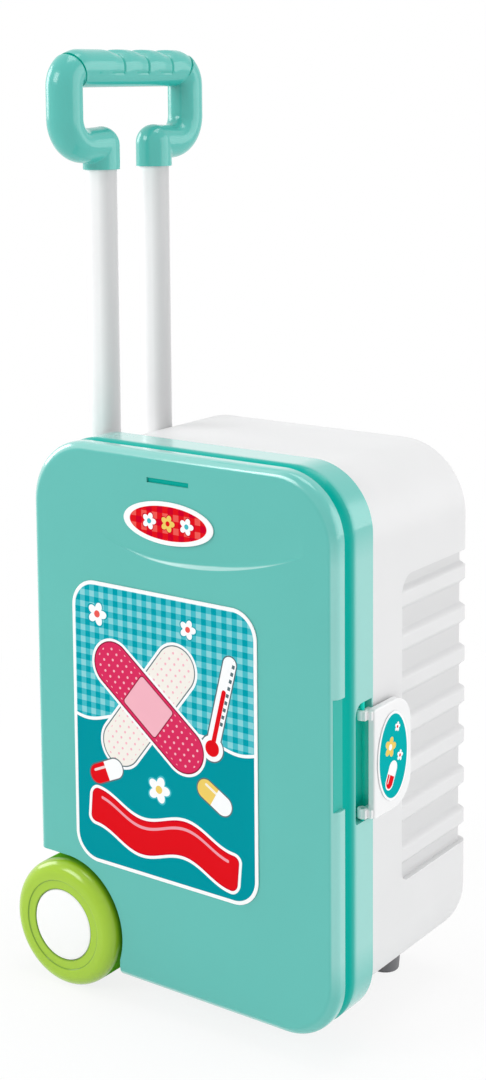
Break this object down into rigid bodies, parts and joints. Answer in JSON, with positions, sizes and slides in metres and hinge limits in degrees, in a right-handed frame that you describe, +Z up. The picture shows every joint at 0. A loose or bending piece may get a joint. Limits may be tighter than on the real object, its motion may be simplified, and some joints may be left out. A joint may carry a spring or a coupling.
{
  "type": "toy doctor case",
  "caption": "Upright toy trolley case with a hinged lid, side latch, ribbed rear shell, pull-out handle with finger grip, and wheels at one side.",
  "frame": {"origin": "on the ground under the middle of the whole case's bounding box, with the handle drawn out and the lid shut", "axes": "+Z up along the handle, -Y out of the lid's face, +X towards the latch side, away from the wheels"},
  "size_m": [0.2676, 0.18, 0.6331],
  "materials": {
    "teal_plastic": "moulded, soft gloss",
    "white_plastic": "moulded, soft gloss",
    "green_plastic": "moulded, soft gloss",
    "grey_plastic": "moulded, matt",
    "steel": "plain",
    "front_print": "printed film",
    "badge_print": "printed film",
    "latch_print": "printed film"
  },
  "bodies": {
    "case": {"rear_shell": "white_plastic", "hinge_pin_lower": "steel", "hinge_pin_upper": "steel", "axle": "steel", "axle_spacer": "grey_plastic", "axle_retainer_front": "steel", "axle_retainer_back": "steel", "foot_front": "grey_plastic", "foot_back": "grey_plastic", "foot_screw_front": "steel", "foot_screw_back": "steel", "guide_plate": "grey_plastic", "channel_cover": "white_plastic", "channel_screw_lower": "steel", "channel_screw_upper": "steel"},
    "lid": {"front_lid": "teal_plastic", "front_label": "front_print", "badge_label": "badge_print", "latch_pin_lower": "steel", "latch_pin_upper": "steel"},
    "latch": {"latch_plate": "white_plastic", "latch_label": "latch_print"},
    "handle": {"grip": "teal_plastic", "tube_front": "white_plastic", "tube_back": "white_plastic", "stop_bar": "grey_plastic", "grip_screw_front": "steel", "grip_screw_back": "steel"},
    "front_wheel": {"wheel_front": "green_plastic", "hub_cap_front": "white_plastic"},
    "rear_wheel": {"wheel_back": "green_plastic", "hub_cap_back": "white_plastic"}
  },
  "joints": [
    {"name": "lid_hinge", "type": "hinge", "parent": "case", "child": "lid", "pos_m": [-0.11975, -0.0401, 0.1973], "axis": [0, 0, -1], "range_deg": [0, 165]},
    {"name": "latch_hinge", "type": "hinge", "parent": "lid", "child": "latch", "pos_m": [0.12495, -0.05025, 0.1913], "axis": [0, 0, -1], "range_deg": [0, 100]},
    {"name": "handle_slide", "type": "slide", "parent": "case", "child": "handle", "axis": [0, 0, -1], "range_m": [0, 0.17]},
    {"name": "front_wheel_spin", "type": "hinge", "parent": "case", "child": "front_wheel", "pos_m": [-0.09025, -0.07125, 0.0435], "axis": [0, 1, 0], "continuous": true},
    {"name": "rear_wheel_spin", "type": "hinge", "parent": "case", "child": "rear_wheel", "pos_m": [-0.09025, 0.07125, 0.0435], "axis": [0, 1, 0], "continuous": true}
  ]
}
